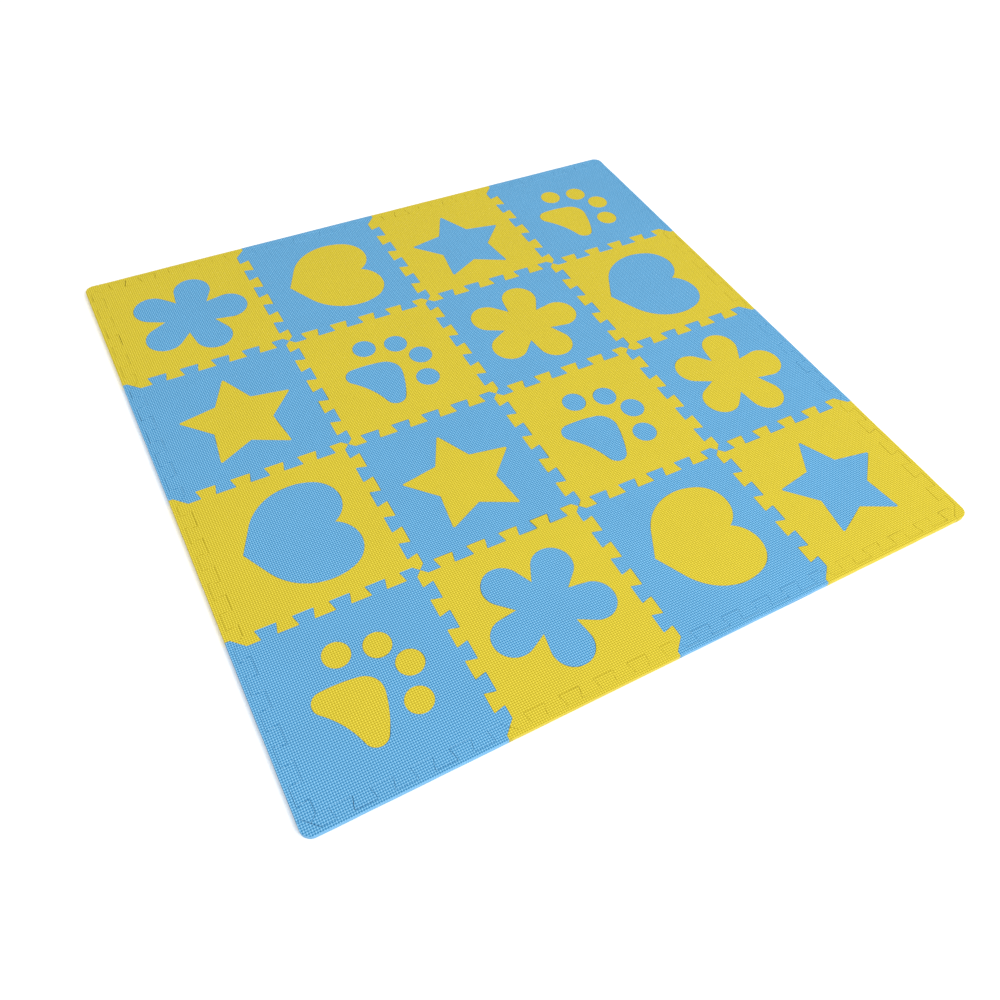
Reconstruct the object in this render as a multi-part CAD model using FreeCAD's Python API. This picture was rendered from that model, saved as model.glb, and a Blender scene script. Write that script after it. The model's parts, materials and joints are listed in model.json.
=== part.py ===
import FreeCAD, Part
import math
import os

# Interlocking foam play mat: sixteen square tiles hooked together by dovetail
# teeth, straight-edged strips all round, and press-out shapes in every tile.
# Millimetres. The origin is the middle of the mat on the floor, and +Z is up.

# ---- The mat as a whole
tiles_per_side = 4
tile_pitch = 295.0  # from one seam line between tiles to the next
foam_thickness = 10.0

# ---- Dovetail teeth round every tile
teeth_per_side = 5
tooth_depth = 19.5  # from the root of a tooth to its tip
flank_angle = 15.0  # degrees that a tooth's flanks spread towards its tip
tooth_corner_radius = 1.5

# ---- Strips that close the outside of the mat
rim_width = 7.5  # foam left outside the tips of the teeth
mat_corner_radius = 17.0

# ---- Fits, measured across the gap
seam_gap = 0.3  # between two tiles, two strips, or a tile and a strip
inlay_gap = 0.3  # between a press-out shape and its hole

# ---- Flower: round petals with straight flanks that meet in sharp notches
petal_count = 5
petal_centre_radius = 77.0
petal_radius = 35.0
petal_notch_radius = 49.0

# ---- Heart: two round lobes, two long side arcs and a straight-sided tip
heart_lobe_radius = 52.0
heart_lobe_overlap = 6.0  # how far each lobe's circle reaches over the middle line
heart_side_radius = 97.0
heart_tip_distance = 130.0  # from the line through the lobes to the tip
heart_tip_angle = 125.4  # degrees between the two straight sides

# ---- Star
star_points = 5
star_tip_radius = 108.0
star_inner_radius = 56.0
star_corner_radius = 2.5

# ---- Paw print, set out forwards and sideways from a slanting middle line
paw_angle = 33.5  # degrees from +X to the way the toes point
paw_shift_x = -27.5
paw_shift_y = -20.0
toe_radius = 22.0
inner_toe_forward = 92.5
inner_toe_spread = 28.5
outer_toe_forward = 48.0
outer_toe_spread = 71.5
pad_front_forward = 13.5
pad_front_radius = 31.5
pad_lobe_radius = 19.0
pad_left_lobe_back = 23.5
pad_left_lobe_spread = 42.0
pad_right_lobe_back = 26.5
pad_right_lobe_spread = 47.0
pad_flank_radius = 240.0
pad_heel_radius = 150.0

# ---- Which shape each tile carries: rows run from the back (+Y) of the mat to the
# front, and in every row the four shapes follow on from that row's first one
SHAPES = ["flower", "heart", "star", "paw"]
FIRST_SHAPE_IN_ROW = [0, 2, 1, 3]
TURNED_SHAPES = {(4, 2): -90.0}  # row, column: degrees this shape is fitted turned

half_depth = tooth_depth / 2
half_field = tile_pitch * tiles_per_side / 2
rim_line = half_depth + rim_width  # outer edge of a strip, from the seam line

os.makedirs("parts", exist_ok=True)


def vec(x, y):
    return FreeCAD.Vector(x, y, 0)


def polar(centre, radius, angle):
    return centre + vec(radius * math.cos(angle), radius * math.sin(angle))


def line(start, end):
    return Part.LineSegment(start, end).toShape()


def arc(centre, radius, start, end):
    points = [polar(centre, radius, a) for a in (start, (start + end) / 2, end)]
    return Part.Arc(*points).toShape()


def rounded_face(corners):
    """A flat face from corners (x, y, radius), each one rounded by its radius."""
    edges = []
    first = None
    last = None
    for n, (x, y, radius) in enumerate(corners):
        here = vec(x, y)
        back = vec(*corners[n - 1][:2]) - here
        ahead = vec(*corners[(n + 1) % len(corners)][:2]) - here
        back.normalize()
        ahead.normalize()
        half = back.getAngle(ahead) / 2
        start = here + back * (radius / math.tan(half))
        end = here + ahead * (radius / math.tan(half))
        if last is None:
            first = start
        else:
            edges.append(line(last, start))
        if radius > 0:
            inward = back + ahead
            inward.normalize()
            middle = here + inward * (radius / math.sin(half) - radius)
            edges.append(Part.Arc(start, middle, end).toShape())
        last = end
    edges.append(line(last, first))
    return Part.Face(Part.Wire(edges))


def grown(face, amount):
    """The face with its outline moved outwards, or inwards by a negative amount."""
    return face.makeOffset2D(amount)


def slab(face):
    return face.extrude(FreeCAD.Vector(0, 0, foam_thickness))


def placed(shape, x, y, turn=0.0):
    """A copy of the shape turned about +Z and then moved to x, y."""
    copy = shape.copy()
    copy.rotate(vec(0, 0), FreeCAD.Vector(0, 0, 1), turn)
    copy.translate(vec(x, y))
    return copy


# ---------------------------------------------------------------- toothed outlines


def side_corners():
    """One side of a tile as (along, outward, radius), without the side's last corner.

    It leaves its first corner in a valley and ends on a tooth. Both are cut off at
    45 degrees, so that four tiles meet point to point in a small pinwheel.
    """
    step = tile_pitch / teeth_per_side
    flare = half_depth * math.tan(math.radians(flank_angle))
    r = tooth_corner_radius
    corners = [(0.0, 0.0, 0.0), (half_depth, -half_depth, r)]
    for n in range(teeth_per_side):
        rise = step * (n + 0.5)
        fall = step * (n + 1)
        corners.append((rise + flare, -half_depth, r))
        corners.append((rise - flare, half_depth, r))
        if n < teeth_per_side - 1:
            corners.append((fall + flare, half_depth, r))
            corners.append((fall - flare, -half_depth, r))
    corners.append((tile_pitch - half_depth, half_depth, r))
    return corners


def tile_blank():
    """A tile centred on the origin, before its shape is cut out."""
    corners = []
    for quarter in range(4):
        turn = -math.pi / 2 * quarter
        for along, outward, radius in side_corners():
            x = along - tile_pitch / 2
            y = outward + tile_pitch / 2
            turned_x = x * math.cos(turn) - y * math.sin(turn)
            turned_y = x * math.sin(turn) + y * math.cos(turn)
            corners.append((turned_x, turned_y, radius))
    return slab(grown(rounded_face(corners), -seam_gap / 2))


def edge_strip(place, wraps_corner):
    """The strip along the mat's back edge beside the given tile, counted from 0.

    The last strip of each side also wraps round the mat's corner.
    """
    edge = rim_line + seam_gap / 2
    r = tooth_corner_radius
    end = tile_pitch
    corners = side_corners()
    if wraps_corner:
        corners.append((end + half_depth, -half_depth, r))
        corners.append((end + edge, -half_depth, 0.0))
        corners.append((end + edge, edge, mat_corner_radius))
    else:
        corners.append((end, 0.0, 0.0))
        corners.append((end + half_depth, half_depth, r))
        corners.append((end + half_depth, edge, 0.0))
    corners.append((half_depth, edge, 0.0))
    corners.append((half_depth, half_depth, r))
    strip = slab(grown(rounded_face(corners), -seam_gap / 2))
    strip.translate(vec(place * tile_pitch - half_field, half_field))
    return strip


# ---------------------------------------------------------------- press-out shapes


def flower_face():
    edges = []
    pitch = 2 * math.pi / petal_count
    for n in range(petal_count):
        axis = n * pitch
        centre = polar(vec(0, 0), petal_centre_radius, axis)
        notches = [polar(vec(0, 0), petal_notch_radius, axis + s * pitch / 2) for s in (-1, 1)]
        reach = notches[1] - centre
        lean = math.atan2(reach.y, reach.x) - axis
        lean = math.atan2(math.sin(lean), math.cos(lean))
        spread = lean - math.acos(petal_radius / reach.Length)
        edges.append(line(notches[0], polar(centre, petal_radius, axis - spread)))
        edges.append(arc(centre, petal_radius, axis - spread, axis + spread))
        edges.append(line(polar(centre, petal_radius, axis + spread), notches[1]))
    return Part.Face(Part.Wire(edges))


def heart_face():
    """A heart whose tip points to -X, drawn as one half and its mirror image.

    Each side arc runs out of its lobe and into its straight side with no corner.
    """
    lobe = vec(0, heart_lobe_radius - heart_lobe_overlap)
    tip = vec(-heart_tip_distance, 0)
    touch = math.radians(90 + heart_tip_angle / 2)
    clear = heart_side_radius - (tip - lobe).dot(polar(vec(0, 0), 1, touch))
    handover = touch - math.acos(clear / (heart_side_radius - heart_lobe_radius))
    side = polar(lobe, heart_lobe_radius - heart_side_radius, handover)
    notch = -math.asin(lobe.y / heart_lobe_radius)
    half = [
        arc(lobe, heart_lobe_radius, notch, handover),
        arc(side, heart_side_radius, handover, touch),
        line(polar(side, heart_side_radius, touch), tip),
    ]
    other = [edge.mirror(vec(0, 0), vec(0, 1)) for edge in half]
    face = Part.Face(Part.Wire(Part.sortEdges(half + other)[0]))
    face.translate(vec((heart_tip_distance - heart_lobe_radius) / 2, 0))
    return face


def star_face():
    """A star with one tip towards +Y, its outline's box centred on the tile."""
    drop = star_tip_radius * (1 - math.cos(math.pi / star_points)) / 2
    corners = []
    for n in range(2 * star_points):
        radius = star_inner_radius if n % 2 else star_tip_radius
        at = polar(vec(0, -drop), radius, math.pi / 2 + n * math.pi / star_points)
        corners.append((at.x, at.y, star_corner_radius))
    return rounded_face(corners)


def bridge(first, second, radius):
    """The arc that runs smoothly from one circle to the next, going anticlockwise.

    A positive radius swells outwards round both circles; a negative one dips in.
    """
    (c1, r1), (c2, r2) = first, second
    d1 = abs(radius - r1)
    d2 = abs(radius - r2)
    span = (c2 - c1).Length
    along = (d1 * d1 - d2 * d2 + span * span) / (2 * span)
    away = math.sqrt(d1 * d1 - along * along) * (1 if radius > 0 else -1)
    forward = (c2 - c1) / span
    centre = c1 + forward * along + vec(-forward.y, forward.x) * away
    ends = []
    for c, r in (first, second):
        out = (c - centre) if radius > 0 else (centre - c)
        ends.append(c + out * (r / out.Length))
    toward = (ends[0] + ends[1]) / 2 - centre
    middle = centre + toward * (abs(radius) / toward.Length)
    return ends[0], middle, ends[1]


def pad_face():
    """The paw's pad: a round front and two heel lobes, joined by smooth arcs."""
    front = (vec(pad_front_forward, 0), pad_front_radius)
    left = (vec(-pad_left_lobe_back, pad_left_lobe_spread), pad_lobe_radius)
    right = (vec(-pad_right_lobe_back, -pad_right_lobe_spread), pad_lobe_radius)
    rounds = [front, left, right]
    bridges = [
        bridge(front, left, pad_flank_radius),
        bridge(left, right, -pad_heel_radius),
        bridge(right, front, pad_flank_radius),
    ]
    edges = []
    for n, (centre, radius) in enumerate(rounds):
        start = bridges[n - 1][2] - centre
        end = bridges[n][0] - centre
        a = math.atan2(start.y, start.x)
        b = a + (math.atan2(end.y, end.x) - a) % (2 * math.pi)
        edges.append(arc(centre, radius, a, b))
        edges.append(Part.Arc(*bridges[n]).toShape())
    return Part.Face(Part.Wire(edges))


def toe_faces():
    places = [
        (outer_toe_forward, outer_toe_spread),
        (inner_toe_forward, inner_toe_spread),
        (inner_toe_forward, -inner_toe_spread),
        (outer_toe_forward, -outer_toe_spread),
    ]
    return [Part.Face(Part.Wire(Part.makeCircle(toe_radius, vec(*at)))) for at in places]


def shape_faces(name):
    """The press-out pieces of one tile, as {piece: [faces]}."""
    if name == "flower":
        return {"flower": [flower_face()]}
    if name == "heart":
        return {"heart": [heart_face()]}
    if name == "star":
        return {"star": [star_face()]}
    seat = (paw_shift_x, paw_shift_y, paw_angle)
    toes = [placed(toe, *seat) for toe in toe_faces()]
    return {"paw_pad": [placed(pad_face(), *seat)], "paw_toes": toes}


# ---------------------------------------------------------------- the pieces


def write(node, solids):
    piece = solids[0] if len(solids) == 1 else Part.makeCompound(solids)
    piece.exportStep("parts/" + node + ".step")


blank = tile_blank()
for name in SHAPES:
    pieces = shape_faces(name)
    tile = blank
    for faces in pieces.values():
        for face in faces:
            tile = tile.cut(slab(grown(face, inlay_gap)))
    for row in range(1, tiles_per_side + 1):
        for column in range(1, tiles_per_side + 1):
            here = FIRST_SHAPE_IN_ROW[(row - 1) % len(SHAPES)] + column - 1
            if SHAPES[here % len(SHAPES)] != name:
                continue
            x = (column - 0.5) * tile_pitch - half_field
            y = half_field - (row - 0.5) * tile_pitch
            turn = TURNED_SHAPES.get((row, column), 0.0)
            where = "_r{}c{}".format(row, column)
            # The toothed outline looks the same after a quarter turn
            write("tile" + where, placed(tile, x, y, turn).Solids)
            for piece, faces in pieces.items():
                write(piece + where, [placed(slab(face), x, y, turn) for face in faces])

for quarter, side in enumerate(["north", "east", "south", "west"]):
    for place in range(tiles_per_side):
        strip = edge_strip(place, place == tiles_per_side - 1)
        write("edge_{}_{}".format(side, place + 1), [placed(strip, 0, 0, -90.0 * quarter)])
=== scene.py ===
# %% [markdown]
# # A foam puzzle mat, tile by tile
# This lesson dresses a finished mechanical model of a children's floor mat. The mat is die-cut
# from sheets of EVA foam: sixteen square tiles hook together by dovetail teeth, straight strips
# close the outside, and every tile has a flower, heart, star or paw print that presses out.
# The mechanical model already fixes where every piece is and how it moves. Our work is what the
# solids lack: the soft shoulders that a cutting die leaves, faces that are never quite flat,
# seams that gape a little here and there, and a skin embossed like coarse cloth.
# %% Load the mechanical model
import json
import math

import bmesh
import bpy
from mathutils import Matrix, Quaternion, Vector, noise

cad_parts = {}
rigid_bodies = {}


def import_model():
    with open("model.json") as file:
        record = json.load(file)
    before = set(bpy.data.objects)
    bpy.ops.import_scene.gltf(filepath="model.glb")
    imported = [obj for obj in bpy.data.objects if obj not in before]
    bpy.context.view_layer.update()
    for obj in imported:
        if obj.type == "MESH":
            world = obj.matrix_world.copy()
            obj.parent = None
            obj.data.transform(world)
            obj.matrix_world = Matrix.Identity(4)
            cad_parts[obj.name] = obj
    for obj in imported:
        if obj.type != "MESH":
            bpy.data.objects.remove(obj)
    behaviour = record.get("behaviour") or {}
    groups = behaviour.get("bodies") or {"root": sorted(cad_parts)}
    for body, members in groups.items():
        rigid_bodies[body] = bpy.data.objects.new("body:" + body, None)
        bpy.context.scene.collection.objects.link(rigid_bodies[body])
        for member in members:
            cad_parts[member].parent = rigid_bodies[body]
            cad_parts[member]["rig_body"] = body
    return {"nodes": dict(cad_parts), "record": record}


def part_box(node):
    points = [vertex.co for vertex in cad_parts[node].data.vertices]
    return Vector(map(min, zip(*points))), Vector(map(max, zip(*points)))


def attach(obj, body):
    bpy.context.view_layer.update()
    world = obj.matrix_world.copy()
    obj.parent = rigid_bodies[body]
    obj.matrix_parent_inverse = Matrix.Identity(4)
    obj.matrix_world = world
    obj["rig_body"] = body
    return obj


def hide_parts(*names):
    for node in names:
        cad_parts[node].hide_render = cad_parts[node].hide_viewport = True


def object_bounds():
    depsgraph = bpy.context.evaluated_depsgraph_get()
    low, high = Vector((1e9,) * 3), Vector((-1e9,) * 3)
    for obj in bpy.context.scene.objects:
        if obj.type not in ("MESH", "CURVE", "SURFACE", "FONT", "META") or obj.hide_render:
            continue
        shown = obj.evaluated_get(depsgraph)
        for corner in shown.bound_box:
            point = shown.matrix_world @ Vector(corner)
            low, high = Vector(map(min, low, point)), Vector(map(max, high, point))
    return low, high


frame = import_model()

solid_low, solid_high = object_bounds()
print("solids span", [round(high - low, 4) for low, high in zip(solid_low, solid_high)])

# %% [markdown]
# ## Where to look from
# The mat lies flat, so a camera that looks steeply down from beyond its front left corner shows
# all the tiles and still lets the far ones shrink. The camera is hung from an aiming point on the
# mat by an azimuth, an elevation and a distance, which is easier to reason about than three
# coordinates. A few degrees of roll is what a camera held by hand has. The two small functions
# turn such angles into a direction, and will place the lamp as well.
# %% Camera
AIM = Vector((-0.114, -0.226, 0.010))
AZIMUTH, ELEVATION, ROLL = -32.6, 51.6, 5.4
DISTANCE, FOCAL_LENGTH = 1.516, 32.3


def direction_out(azimuth, elevation):
    turn, tilt = math.radians(azimuth), math.radians(elevation)
    level = math.cos(tilt)
    return Vector((math.sin(turn) * level, -math.cos(turn) * level, math.sin(tilt)))


def facing_in(out):
    return (-out).to_track_quat("-Z", "Y")


def hang_camera():
    out = direction_out(AZIMUTH, ELEVATION)
    lens = bpy.data.cameras.new("mat_camera")
    lens.lens = FOCAL_LENGTH
    camera = bpy.data.objects.new("mat_camera", lens)
    camera.location = AIM + out * DISTANCE
    camera.rotation_mode = "QUATERNION"
    roll = Quaternion((0, 0, 1), math.radians(ROLL))
    camera.rotation_quaternion = facing_in(out) @ roll
    bpy.context.scene.collection.objects.link(camera)
    bpy.context.scene.camera = camera
    return camera


camera = hang_camera()
print("camera stands at", [round(v, 3) for v in camera.location])

# %% [markdown]
# ## A floor and soft light
# A mat this pale and flat needs light from everywhere, or its colours go dull. A white world gives
# that. One large lamp is added in front, to the right. Light that comes in at a slant makes an
# embossed pattern show, and from the front it also brightens the cut walls and keeps the floor
# there free of shadow. The lamp stands well back, so that near and far tiles are lit alike. The
# floor is a plain pale sheet.
# %% Floor, lamp and world
FLOOR_SIZE, FLOOR_DROP = 20.0, 0.0002
FLOOR_WHITE, FLOOR_ROUGHNESS = 0.95, 0.9
ROOM_STRENGTH = 0.94


def lay_floor():
    sheet = bmesh.new()
    bmesh.ops.create_grid(sheet, x_segments=1, y_segments=1, size=FLOOR_SIZE)
    mesh = bpy.data.meshes.new("floor")
    sheet.to_mesh(mesh)
    sheet.free()
    floor = bpy.data.objects.new("floor", mesh)
    floor.location.z = solid_low.z - FLOOR_DROP
    paint = bpy.data.materials.new("floor_paint")
    paint.use_nodes = True
    surface = paint.node_tree.nodes["Principled BSDF"]
    surface.inputs["Base Color"].default_value = (FLOOR_WHITE, FLOOR_WHITE, FLOOR_WHITE, 1)
    surface.inputs["Roughness"].default_value = FLOOR_ROUGHNESS
    mesh.materials.append(paint)
    bpy.context.scene.collection.objects.link(floor)


def hang_lamp(name, azimuth, elevation, power, size, reach):
    out = direction_out(azimuth, elevation)
    lamp = bpy.data.lights.new(name, "AREA")
    lamp.energy, lamp.size = power, size
    holder = bpy.data.objects.new(name, lamp)
    holder.location = out * reach
    holder.rotation_mode = "QUATERNION"
    holder.rotation_quaternion = facing_in(out)
    bpy.context.scene.collection.objects.link(holder)


lay_floor()
hang_lamp("skimming_lamp", azimuth=24, elevation=44, power=240, size=3.2, reach=6.0)
world = bpy.data.worlds.new("white_room")
world.use_nodes = True
background = world.node_tree.nodes["Background"]
background.inputs["Color"].default_value = (1, 1, 1, 1)
background.inputs["Strength"].default_value = ROOM_STRENGTH
bpy.context.scene.world = world
bpy.context.scene.view_settings.view_transform = "Standard"
print("floor, one lamp and a white room")

# %% [markdown]
# ## Sizes to work from
# Nothing here invents a position: the thickness and the seam pitch are read from the solids, so
# that a mat of another size would be dressed the same way.
# %% Sizes
def middle(node):
    low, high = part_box(node)
    return (low + high) / 2


THICKNESS = solid_high.z - solid_low.z
PITCH = middle("tile_r1c2").x - middle("tile_r1c1").x
FOAM_OF = {part["node"]: part["material_slot"] for part in frame["record"]["subparts"]}
print(f"foam {THICKNESS * 1000:.1f} mm thick, seams every {PITCH * 1000:.1f} mm")

# %% [markdown]
# ## Working materials out of numbers
# An embossed sheet repeats every few millimetres over more than a metre, so its pattern is worked
# out by arithmetic on coordinates and never drawn. Arithmetic in a material is a chain of Math
# nodes, which is tedious to wire by hand. This small helper adds one and returns its output, so
# that a formula can be read from left to right.
# %% Node helpers
def reckon(tree, operation, *terms):
    node = tree.nodes.new("ShaderNodeMath")
    node.operation = operation
    for socket, term in zip(node.inputs, terms):
        if isinstance(term, (int, float)):
            socket.default_value = term
        else:
            tree.links.new(term, socket)
    return node.outputs[0]


def new_node(tree, kind, **settings):
    node = tree.nodes.new("ShaderNode" + kind)
    for name, value in settings.items():
        node.inputs[name].default_value = value
    return node


print("helpers ready")

# %% [markdown]
# ## The embossed skin
# Foam sheet for mats leaves its mould with a pattern like plain-woven cloth: at each crossing one
# thread rides over the other, and the next crossing has them the other way up. Two waves make
# that. `under_over` is positive where the thread along Y is on top and negative where the thread
# along X is, and it blends one ridge into the other. A node group holds the formula once for
# every colour of foam. It reads a UV map that counts threads, because each sheet of foam was
# moulded, turned and cut with its threads in its own place.
# %% Cloth emboss, as a group
TOP_THREAD_LIFT = 0.12


def cloth_emboss():
    group = bpy.data.node_groups.new("cloth_emboss", "ShaderNodeTree")
    group.interface.new_socket("Threads", in_out="INPUT", socket_type="NodeSocketVector")
    group.interface.new_socket("Height", in_out="OUTPUT", socket_type="NodeSocketFloat")
    start = group.nodes.new("NodeGroupInput")
    split = group.nodes.new("ShaderNodeSeparateXYZ")
    group.links.new(start.outputs["Threads"], split.inputs[0])
    wave_x = reckon(group, "SINE", reckon(group, "MULTIPLY", split.outputs["X"], math.pi))
    wave_y = reckon(group, "SINE", reckon(group, "MULTIPLY", split.outputs["Y"], math.pi))
    ridge_x = reckon(group, "MULTIPLY", wave_x, wave_x)
    ridge_y = reckon(group, "MULTIPLY", wave_y, wave_y)
    under_over = reckon(group, "MULTIPLY", wave_x, wave_y)
    along_y = reckon(group, "MULTIPLY", ridge_x, reckon(group, "ADD", under_over, 1.0))
    along_x = reckon(group, "MULTIPLY", ridge_y, reckon(group, "SUBTRACT", 1.0, under_over))
    woven = reckon(group, "MULTIPLY", reckon(group, "ADD", along_x, along_y), 0.5)
    height = reckon(group, "MULTIPLY_ADD", under_over, TOP_THREAD_LIFT, woven)
    end = group.nodes.new("NodeGroupOutput")
    group.links.new(height, end.inputs["Height"])
    return group


EMBOSS = cloth_emboss()
print("emboss group has", len(EMBOSS.nodes), "nodes")

# %% [markdown]
# The skin's colour has shade painted into the hollows between threads and a highlight painted on the
# thread tops, both read from the emboss height, and it drifts a little across the sheet as the pigment
# did in the mix. Its roughness
# wanders too: the tops of the threads are polished by the mould. Bump gives the threads their raised
# shape.
# %% Skin of the foam
EMBOSS_DEPTH = 0.0008
CLOUD_SCALE, GRAIN_SCALE = 9.0, 900.0
GRAIN_SHARE = 0.06
# Emboss heights up to the first value get the painted shade of the hollows, and heights from the second
# a painted highlight.
PAINTED_SHADE_UP_TO, PAINTED_HIGHLIGHT_FROM = 0.12, 0.95
SKIN_ROUGHNESS, THREAD_POLISH, CLOUD_POLISH = 0.70, 0.12, 0.10
SKIN_SPECULAR = 0.12


def skin(name, shaded_hollow, highlit_crown, drift):
    material = bpy.data.materials.new(name)
    material.use_nodes = True
    tree = material.node_tree
    foam = tree.nodes["Principled BSDF"]
    threads = tree.nodes.new("ShaderNodeUVMap")
    threads.uv_map = "threads"
    weave = tree.nodes.new("ShaderNodeGroup")
    weave.node_tree = EMBOSS
    tree.links.new(threads.outputs["UV"], weave.inputs["Threads"])
    place = tree.nodes.new("ShaderNodeTexCoord")
    clouds = new_node(tree, "TexNoise", Scale=CLOUD_SCALE, Detail=3.0)
    grain = new_node(tree, "TexNoise", Scale=GRAIN_SCALE, Detail=2.0)
    for texture in (clouds, grain):
        tree.links.new(place.outputs["Object"], texture.inputs["Vector"])

    # Painted light: shade painted into the hollows between threads and a highlight painted on the
    # thread tops, by emboss height.
    painted_light_ramp = tree.nodes.new("ShaderNodeValToRGB")
    painted_light_ramp.color_ramp.elements[0].position = PAINTED_SHADE_UP_TO
    painted_light_ramp.color_ramp.elements[0].color = (*shaded_hollow, 1)
    painted_light_ramp.color_ramp.elements[1].position = PAINTED_HIGHLIGHT_FROM
    painted_light_ramp.color_ramp.elements[1].color = (*highlit_crown, 1)
    tree.links.new(weave.outputs["Height"], painted_light_ramp.inputs["Fac"])
    tint = tree.nodes.new("ShaderNodeHueSaturation")
    tree.links.new(painted_light_ramp.outputs["Color"], tint.inputs["Color"])
    value = reckon(tree, "MULTIPLY_ADD", clouds.outputs["Fac"], drift, 1.0 - drift / 2)
    centred = reckon(tree, "SUBTRACT", value, GRAIN_SHARE / 2)
    speckled = reckon(tree, "MULTIPLY_ADD", grain.outputs["Fac"], GRAIN_SHARE, centred)
    tree.links.new(speckled, tint.inputs["Value"])
    tree.links.new(tint.outputs["Color"], foam.inputs["Base Color"])

    polish = reckon(tree, "MULTIPLY_ADD", weave.outputs["Height"], -THREAD_POLISH, SKIN_ROUGHNESS)
    roughness = reckon(tree, "MULTIPLY_ADD", clouds.outputs["Fac"], CLOUD_POLISH, polish)
    tree.links.new(roughness, foam.inputs["Roughness"])
    foam.inputs["Specular IOR Level"].default_value = SKIN_SPECULAR
    bump = new_node(tree, "Bump", Strength=1.0, Distance=EMBOSS_DEPTH)
    surface = reckon(tree, "MULTIPLY_ADD", grain.outputs["Fac"], GRAIN_SHARE, weave.outputs["Height"])
    tree.links.new(surface, bump.inputs["Height"])
    tree.links.new(bump.outputs["Normal"], foam.inputs["Normal"])
    return material


print(f"skin embossed {EMBOSS_DEPTH * 1000:.1f} mm deep")

# %% [markdown]
# Where the die went through, the foam shows its inside: closed cells well under a millimetre
# across, a shade paler than the skin, with no gloss. Voronoi cells are the right pattern, since
# foam cells grow the same way, from points until they meet. The colour is darker towards the
# bottom of each cell pit, which is painted shade, and slow patches add the foam's own uneven tone.
# %% Cut foam
CELL_SCALE, PATCH_SCALE = 1700.0, 60.0
CELL_DEPTH, PATCH_SHARE = 0.00015, 0.4
CUT_ROUGHNESS, CUT_SPECULAR = 0.78, 0.2


def cut_foam(name, shaded_pit, wall):
    material = bpy.data.materials.new(name)
    material.use_nodes = True
    tree = material.node_tree
    foam = tree.nodes["Principled BSDF"]
    place = tree.nodes.new("ShaderNodeTexCoord")
    cells = new_node(tree, "TexVoronoi", Scale=CELL_SCALE)
    patches = new_node(tree, "TexNoise", Scale=PATCH_SCALE, Detail=3.0)
    for texture in (cells, patches):
        tree.links.new(place.outputs["Object"], texture.inputs["Vector"])
    # Painted shade: the colour darkens towards the bottom of each cell pit, where the bump is lowest;
    # the patches add real uneven tone.
    pit_shade_and_patches = reckon(tree, "MULTIPLY_ADD", patches.outputs["Fac"], PATCH_SHARE, cells.outputs["Distance"])
    ramp = tree.nodes.new("ShaderNodeValToRGB")
    ramp.color_ramp.elements[0].color = (*shaded_pit, 1)
    ramp.color_ramp.elements[1].color = (*wall, 1)
    tree.links.new(pit_shade_and_patches, ramp.inputs["Fac"])
    tree.links.new(ramp.outputs["Color"], foam.inputs["Base Color"])
    roughness = reckon(tree, "MULTIPLY_ADD", patches.outputs["Fac"], 0.15, CUT_ROUGHNESS)
    tree.links.new(roughness, foam.inputs["Roughness"])
    foam.inputs["Specular IOR Level"].default_value = CUT_SPECULAR
    bump = new_node(tree, "Bump", Strength=0.8, Distance=CELL_DEPTH)
    tree.links.new(cells.outputs["Distance"], bump.inputs["Height"])
    tree.links.new(bump.outputs["Normal"], foam.inputs["Normal"])
    return material


FINISHES = {
    "blue_foam": (
        # In each skin the first colour is the hollows with painted shade and the second is the thread
        # tops with a painted highlight.
        skin("blue_skin", (0.015, 0.168, 0.372), (0.225, 0.518, 0.772), 0.07),
        # In each cut the first colour is the cell pits with painted shade and the second is the cut
        # foam's own colour.
        cut_foam("blue_cut", (0.120, 0.340, 0.570), (0.190, 0.420, 0.650)),
    ),
    "yellow_foam": (
        skin("yellow_skin", (0.413, 0.317, 0.009), (0.753, 0.617, 0.059), 0.05),
        cut_foam("yellow_cut", (0.500, 0.400, 0.035), (0.620, 0.510, 0.065)),
    ),
}
print("finishes:", ", ".join(FINISHES))

# %% [markdown]
# ## From a solid to a piece of foam
# Each piece starts as a copy of its own solid, merged, because an imported solid is loose
# triangles. Drawing every outline again would only risk a misfit, and what foam adds is all in
# how the outline is treated. First, long straight runs of the rim get extra points, or nothing
# could bend there. Two layers are added for later: a direction at each point and a mark on faces.
# %% Copy a solid and give its rims enough points
RIM_STEP, SAME_POINT = 0.010, 1e-6


def upright(face):
    heights = [v.co.z for v in face.verts]
    return max(heights) - min(heights) > THICKNESS / 4


def foam_blank(node):
    blank = bmesh.new()
    blank.from_mesh(frame["nodes"][node].data)
    blank.verts.layers.float_vector.new("inwards")
    blank.faces.layers.int.new("field")
    bmesh.ops.remove_doubles(blank, verts=blank.verts[:], dist=SAME_POINT)
    rims = [e for e in blank.edges if len({upright(f) for f in e.link_faces}) == 2]
    by_cuts = {}
    for edge in rims:
        by_cuts.setdefault(int(edge.calc_length() / RIM_STEP), []).append(edge)
    for cuts, edges in by_cuts.items():
        if cuts:
            bmesh.ops.subdivide_edges(blank, edges=edges, cuts=cuts)
    return blank


trial = foam_blank("heart_r1c2")
print("a heart starts with", len(trial.faces), "faces")
trial.free()

# %% [markdown]
# Every later step needs to know which way is into the foam. The walls say so: where two of them
# meet at a rim point, moving by this mitred direction draws both walls in by the same distance.
# It is read from the walls and not from the flat faces, whose triangles can be thin slivers.
# %% Which way is inwards
SAME_LEVEL, SHARPEST_MITRE = 1e-5, 0.3


def level_faces(piece, level):
    return [f for f in piece.faces if all(abs(v.co.z - level) < SAME_LEVEL for v in f.verts)]


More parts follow.
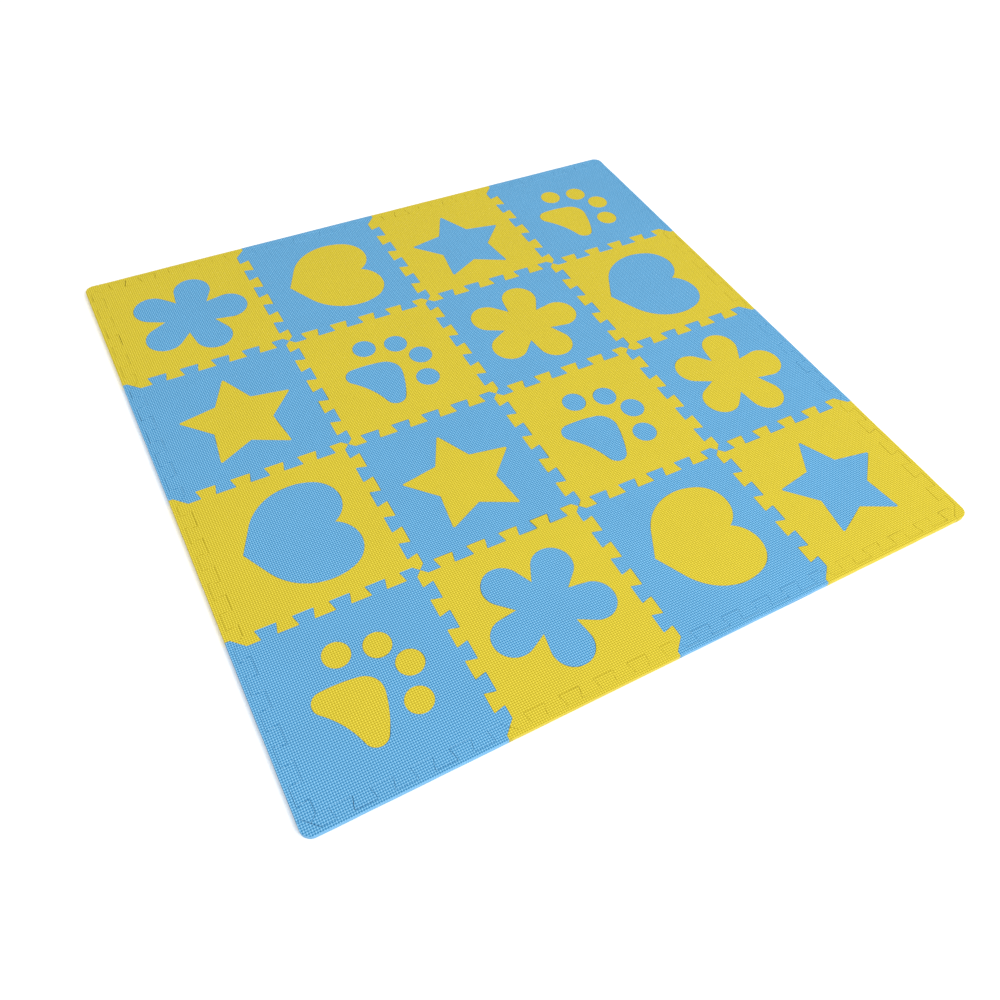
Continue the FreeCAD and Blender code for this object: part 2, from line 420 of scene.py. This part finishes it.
def point_inwards(piece, level):
    inwards = piece.verts.layers.float_vector["inwards"]
    rim = {v for f in level_faces(piece, level) for v in f.verts}
    for point in rim:
        walls = [f for e in point.link_edges if len({upright(f) for f in e.link_faces}) == 2
                 for f in e.link_faces if upright(f)]
        if len(walls) != 2:
            continue
        first, second = (Vector((f.normal.x, f.normal.y, 0)).normalized() for f in walls)
        point[inwards] = -(first + second) / max(SHARPEST_MITRE, 1 + first.dot(second))


print("each rim point can be told which way is into the foam")

# %% [markdown]
# A die-cut edge is never as true as its drawing. Foam pressed together swells until the seam all
# but closes, and only here and there does a stretch shrink back, so that the seam gapes as a dark
# line. Smooth noise, read at each point of the rim, says how far that point draws in. The wall
# also dishes inwards halfway up, since foam is squeezed flat while the blade passes and springs
# back after.
# %% Draw the cut edge in
SWELL, SHRINK, DISH = 0.00011, 0.0011, 0.00015
GAPE_SCALE, GAPE_FROM = 22.0, 0.22


def draw_in(piece, seed):
    for level in (0.0, THICKNESS):
        point_inwards(piece, level)
    inwards = piece.verts.layers.float_vector["inwards"]
    for point in piece.verts:
        wander = noise.noise(Vector((point.co.x, point.co.y, seed)) * GAPE_SCALE)
        point.co += point[inwards] * (SHRINK * max(0.0, wander - GAPE_FROM) - SWELL)
    everything = piece.verts[:] + piece.edges[:] + piece.faces[:]
    halfway, up = (0, 0, THICKNESS / 2), (0, 0, 1)
    cut = bmesh.ops.bisect_plane(piece, geom=everything, plane_co=halfway, plane_no=up)
    for point in [g for g in cut["geom_cut"] if isinstance(g, bmesh.types.BMVert)]:
        point.co += point[inwards] * DISH


print(f"edges swell {SWELL * 1000:.2f} mm and dish {DISH * 1000:.2f} mm")

# %% [markdown]
# The blade also rolls the skin over as it goes in, so both faces end in a soft shoulder. A bevel
# frays where many triangles meet at one corner. Insetting the whole face in rings is steadier: the
# face is lowered to where the shoulder starts, and each ring steps inwards and back up along a
# quarter circle. The inset makes each ring on the spot, and the ring then moves along its mitred
# directions, so it keeps its distance from the wall even round sharp corners. A last narrow flat
# ring stops the shading of the shoulder from leaking across the face.
# %% Round the shoulders
SHOULDER = 0.00055
RINGS = [(0.134, 0.500), (0.366, 0.134), (0.500, 0.0), (0.250, 0.0)]


def round_shoulders(piece):
    inwards = piece.verts.layers.float_vector["inwards"]
    field = piece.faces.layers.int["field"]
    for side, level in ((1, THICKNESS), (-1, 0.0)):
        face = level_faces(piece, level)
        for point in {v for f in face for v in f.verts}:
            point.co.z = level - side * SHOULDER
        for step, below in RINGS:
            bmesh.ops.inset_region(piece, faces=face, thickness=0, use_boundary=True)
            for point in {v for f in face for v in f.verts}:
                point.co += point[inwards] * SHOULDER * step
                point.co.z = level - side * SHOULDER * below
        for flat in face:
            flat[field] = 1


print(f"shoulders {SHOULDER * 1000:.2f} mm wide in {len(RINGS)} rings")

# %% [markdown]
# A sheet of soft foam follows the floor and its own memory of the roll, so no two pieces lie at
# quite the same height. The faces are cut into squares, so that they can bend, and the upper side
# then rises and falls by a few tenths of a millimetre. The underside stays on the floor. The old
# diagonals inside each square are dissolved, because they would show as creases.
# %% Let the top roll gently
SQUARE, ROLL_HEIGHT = PITCH / 16, 0.00035
LONG_ROLL, SHORT_ROLL, SEED_STRIDE = 5.0, 19.0, 0.37
ON_LINE = 1e-4


def cut_squares(piece):
    for axis in (0, 1):
        along = [v.co[axis] for v in piece.verts]
        step = math.floor(min(along) / SQUARE) + 1
        while step * SQUARE < max(along):
            everything = piece.verts[:] + piece.edges[:] + piece.faces[:]
            spot, way = [0, 0, 0], [0, 0, 0]
            spot[axis], way[axis] = step * SQUARE, 1
            bmesh.ops.bisect_plane(piece, geom=everything, plane_co=spot, plane_no=way)
            step += 1


def on_square(edge):
    for axis in (0, 1):
        lines = [v.co[axis] / SQUARE for v in edge.verts]
        on_lines = all(abs(n - round(n)) < ON_LINE for n in lines)
        if on_lines and abs(lines[0] - lines[1]) < ON_LINE:
            return True
    return False


def relax_top(piece, seed):
    cut_squares(piece)
    field = piece.faces.layers.int["field"]
    spare = [e for e in piece.edges if all(f[field] for f in e.link_faces) and not on_square(e)]
    bmesh.ops.dissolve_edges(piece, edges=spare, use_verts=False)
    for point in piece.verts:
        here = Vector((point.co.x, point.co.y, seed * SEED_STRIDE))
        swell = 0.7 * noise.noise(here * LONG_ROLL) + 0.3 * noise.noise(here * SHORT_ROLL)
        point.co.z += ROLL_HEIGHT * swell * min(1.0, max(0.0, point.co.z / THICKNESS))


print(f"faces cut into squares of {SQUARE * 1000:.1f} mm")

# %% [markdown]
# ## Counting threads
# The cloth pattern needs a map that counts threads in each direction. The moulded threads are a
# little closer together one way than the other. Blue sheets went under the die one way round and
# yellow ones the other, and every piece was cut with its threads starting somewhere else.
# %% Thread map
MORE_THREADS, FEWER_THREADS = 82.6, 77.5
CLOSE, WIDE = PITCH / MORE_THREADS, PITCH / FEWER_THREADS


def map_threads(piece, foam, seed):
    pitch_x, pitch_y = (CLOSE, WIDE) if foam == "blue_foam" else (WIDE, CLOSE)
    shift_x = noise.noise(Vector((seed, 0.3, 0.7)) * 7.3)
    shift_y = noise.noise(Vector((0.7, seed, 0.2)) * 5.9)
    threads = piece.loops.layers.uv.new("threads")
    for face in piece.faces:
        for loop in face.loops:
            x, y, _ = loop.vert.co
            loop[threads].uv = (x / pitch_x + shift_x, y / pitch_y + shift_y)


print(f"threads {CLOSE * 1000:.2f} mm and {WIDE * 1000:.2f} mm apart")

# %% [markdown]
# ## Making every piece
# One function takes a solid through all the steps, paints its skin and its cut walls, and hands
# the result to the moving model: it rides on the same body as its solid, stands in for it, and
# takes that solid's finish.
# %% One piece of foam
FIRST_SEED, SEED_STEP = 1.0, 1.7


def make_foam(node, seed):
    piece = foam_blank(node)
    draw_in(piece, seed)
    round_shoulders(piece)
    relax_top(piece, seed)
    foam = FOAM_OF[node]
    map_threads(piece, foam, seed)
    for face in piece.faces:
        face.smooth = True
        face.material_index = 1 if upright(face) else 0
    open_edges = sum(not e.is_manifold for e in piece.edges)
    mesh = bpy.data.meshes.new("soft_" + node)
    piece.to_mesh(mesh)
    piece.free()
    for finish in FINISHES[foam]:
        mesh.materials.append(finish)
    shown = bpy.data.objects.new("soft_" + node, mesh)
    bpy.context.scene.collection.objects.link(shown)
    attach(shown, frame["nodes"][node]["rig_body"])
    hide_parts(node)
    return len(mesh.polygons), open_edges


def make_all(kind):
    made = [make_foam(node, FIRST_SEED + n * SEED_STEP)
            for n, node in enumerate(sorted(FOAM_OF)) if node.startswith(kind)]
    faces, open_edges = (sum(column) for column in zip(*made))
    print(f"{len(made)} of {kind}: {faces} faces, {open_edges} open edges")


print("ready to make", len(FOAM_OF), "pieces")

# %% Tiles
make_all("tile")

# %% Edge strips
make_all("edge")

# %% Press-out shapes
for kind in ("flower", "heart", "star", "paw_pad", "paw_toes"):
    make_all(kind)
